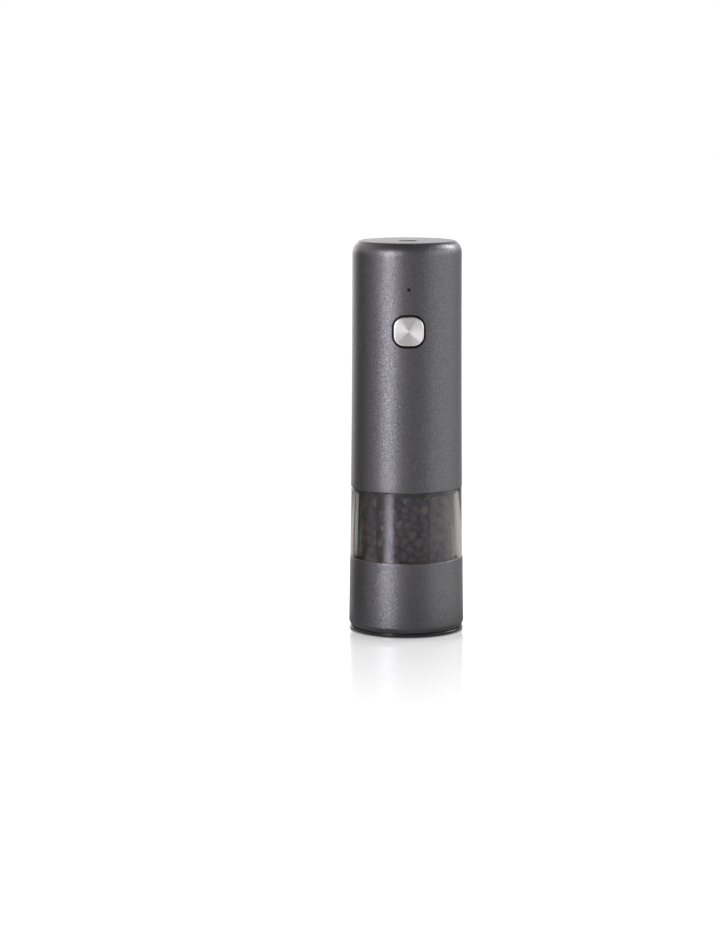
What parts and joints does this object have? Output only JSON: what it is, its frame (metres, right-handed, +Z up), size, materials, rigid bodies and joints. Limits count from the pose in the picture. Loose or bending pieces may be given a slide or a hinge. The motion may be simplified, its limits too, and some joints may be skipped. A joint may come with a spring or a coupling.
{
  "type": "pepper mill",
  "caption": "Tall round cordless pepper mill: a push-button motor head with a charging port lifts off a smoky clear chamber over a ceramic grinder and a push-on lid.",
  "frame": {"origin": "centre of the foot on the table", "axes": "+Z up along the mill's axis, the button faces -Y, +X to the right as seen from the front"},
  "size_m": [0.059, 0.059, 0.2],
  "materials": {
    "anthracite_paint": "satin metallic lacquer",
    "spun_metal": "circular brushed",
    "matte_black": "fine moulded grain",
    "gloss_black": "polished",
    "smoky_clear": "polished smoky acrylic",
    "clear_plastic": "clear moulded plastic",
    "light_pipe": "smoked clear",
    "usb_shell": "bright nickel",
    "circuit_board": "solder mask",
    "led_white": "clear",
    "switch_grey": "moulded",
    "cell_wrap": "shrink wrap",
    "chassis_plastic": "moulded",
    "steel": "plated",
    "motor_steel": "plated",
    "white_nylon": "moulded",
    "brass": "turned",
    "bush_bronze": "sintered",
    "seal_silicone": "soft",
    "wire_red": "insulation",
    "ceramic": "unglazed"
  },
  "bodies": {
    "lid": {"aroma_lid": "gloss_black"},
    "base": {"base_sleeve": "anthracite_paint", "base_core": "matte_black", "window_tube": "smoky_clear", "pepper_chamber": "clear_plastic", "lock_ring": "matte_black", "grinder_housing": "chassis_plastic", "grinder_screws": "steel", "shaft_bush": "bush_bronze"},
    "head": {"upper_casing": "anthracite_paint", "port_surround": "matte_black", "usb_socket": "usb_shell", "charging_board": "circuit_board", "charge_light": "light_pipe", "button_frame": "matte_black", "push_switch": "switch_grey", "front_light_pipe": "light_pipe", "status_led": "led_white", "control_board": "circuit_board", "battery_cell": "cell_wrap", "chassis_front": "chassis_plastic", "chassis_rear": "chassis_plastic", "chassis_screws": "steel", "motor_end_cap": "white_nylon", "motor_can": "motor_steel", "motor_screws": "steel", "motor_plate": "steel", "ring_gear": "white_nylon", "gearbox_screws": "steel", "output_bush": "bush_bronze", "head_floor": "matte_black", "seal_ring": "seal_silicone", "motor_leads": "wire_red", "cell_leads": "wire_red", "charge_leads": "wire_red"},
    "button": {"power_button": "spun_metal", "switch_plunger": "matte_black", "button_spring": "steel"},
    "motor_rotor": {"motor_shaft": "steel", "motor_pinion": "brass"},
    "carrier_1": {"carrier_1": "white_nylon"},
    "carrier_2": {"carrier_2": "white_nylon"},
    "planet_1a": {"planet_1a": "white_nylon"},
    "planet_1b": {"planet_1b": "white_nylon"},
    "planet_1c": {"planet_1c": "white_nylon"},
    "planet_2a": {"planet_2a": "white_nylon"},
    "planet_2b": {"planet_2b": "white_nylon"},
    "planet_2c": {"planet_2c": "white_nylon"},
    "rotor": {"drive_shaft": "steel", "shaft_spring": "steel", "inner_burr": "ceramic", "burr_nut": "steel"},
    "stator": {"outer_burr": "ceramic", "burr_carrier": "chassis_plastic"},
    "dial": {"grind_dial": "matte_black"}
  },
  "joints": [
    {"name": "lid_off", "type": "slide", "parent": "lid", "child": "base", "axis": [0, 0, 1], "range_m": [0, 0.04]},
    {"name": "head_lift", "type": "slide", "parent": "base", "child": "head", "axis": [0, 0, 1], "range_m": [0, 0.06]},
    {"name": "button_press", "type": "slide", "parent": "head", "child": "button", "axis": [0, 1, 0], "range_m": [0, 0.0008], "stiffness_N_per_m": 300, "springref_m": -0.001, "deforming": ["button_spring"]},
    {"name": "dial_turn", "type": "hinge", "parent": "base", "child": "dial", "pos_m": [0, 0, 0.0066], "axis": [0, 0, 1], "range_deg": [0, 270]},
    {"name": "burr_rise", "type": "slide", "parent": "base", "child": "stator", "axis": [0, 0, 1], "range_m": [0, 0.00081]},
    {"name": "shaft_spin", "type": "hinge", "parent": "base", "child": "rotor", "pos_m": [0, 0, 0.03], "axis": [0, 0, 1], "continuous": true},
    {"name": "output_spin", "type": "hinge", "parent": "head", "child": "carrier_2", "pos_m": [0, 0, 0.083], "axis": [0, 0, 1], "continuous": true},
    {"name": "middle_spin", "type": "hinge", "parent": "head", "child": "carrier_1", "pos_m": [0, 0, 0.092], "axis": [0, 0, 1], "continuous": true},
    {"name": "motor_spin", "type": "hinge", "parent": "head", "child": "motor_rotor", "pos_m": [0, 0, 0.1], "axis": [0, 0, 1], "continuous": true},
    {"name": "planet_2a_spin", "type": "hinge", "parent": "carrier_2", "child": "planet_2a", "pos_m": [0.0108, 0, 0.088], "axis": [0, 0, 1], "continuous": true},
    {"name": "planet_2b_spin", "type": "hinge", "parent": "carrier_2", "child": "planet_2b", "pos_m": [-0.0054, 0.00935, 0.088], "axis": [0, 0, 1], "continuous": true},
    {"name": "planet_2c_spin", "type": "hinge", "parent": "carrier_2", "child": "planet_2c", "pos_m": [-0.0054, -0.00935, 0.088], "axis": [0, 0, 1], "continuous": true},
    {"name": "planet_1a_spin", "type": "hinge", "parent": "carrier_1", "child": "planet_1a", "pos_m": [0.0108, 0, 0.097], "axis": [0, 0, 1], "continuous": true},
    {"name": "planet_1b_spin", "type": "hinge", "parent": "carrier_1", "child": "planet_1b", "pos_m": [-0.0054, 0.00935, 0.097], "axis": [0, 0, 1], "continuous": true},
    {"name": "planet_1c_spin", "type": "hinge", "parent": "carrier_1", "child": "planet_1c", "pos_m": [-0.0054, -0.00935, 0.097], "axis": [0, 0, 1], "continuous": true}
  ],
  "couplings": [
    {"joint": "burr_rise", "follows": "dial_turn", "m_per_rad": 0.00016976},
    {"joint": "middle_spin", "follows": "motor_spin", "ratio": 0.22222},
    {"joint": "output_spin", "follows": "motor_spin", "ratio": 0.049383},
    {"joint": "shaft_spin", "follows": "motor_spin", "ratio": 0.049383},
    {"joint": "planet_2a_spin", "follows": "motor_spin", "ratio": -0.13827},
    {"joint": "planet_2b_spin", "follows": "motor_spin", "ratio": -0.13827},
    {"joint": "planet_2c_spin", "follows": "motor_spin", "ratio": -0.13827},
    {"joint": "planet_1a_spin", "follows": "motor_spin", "ratio": -0.62222},
    {"joint": "planet_1b_spin", "follows": "motor_spin", "ratio": -0.62222},
    {"joint": "planet_1c_spin", "follows": "motor_spin", "ratio": -0.62222}
  ]
}
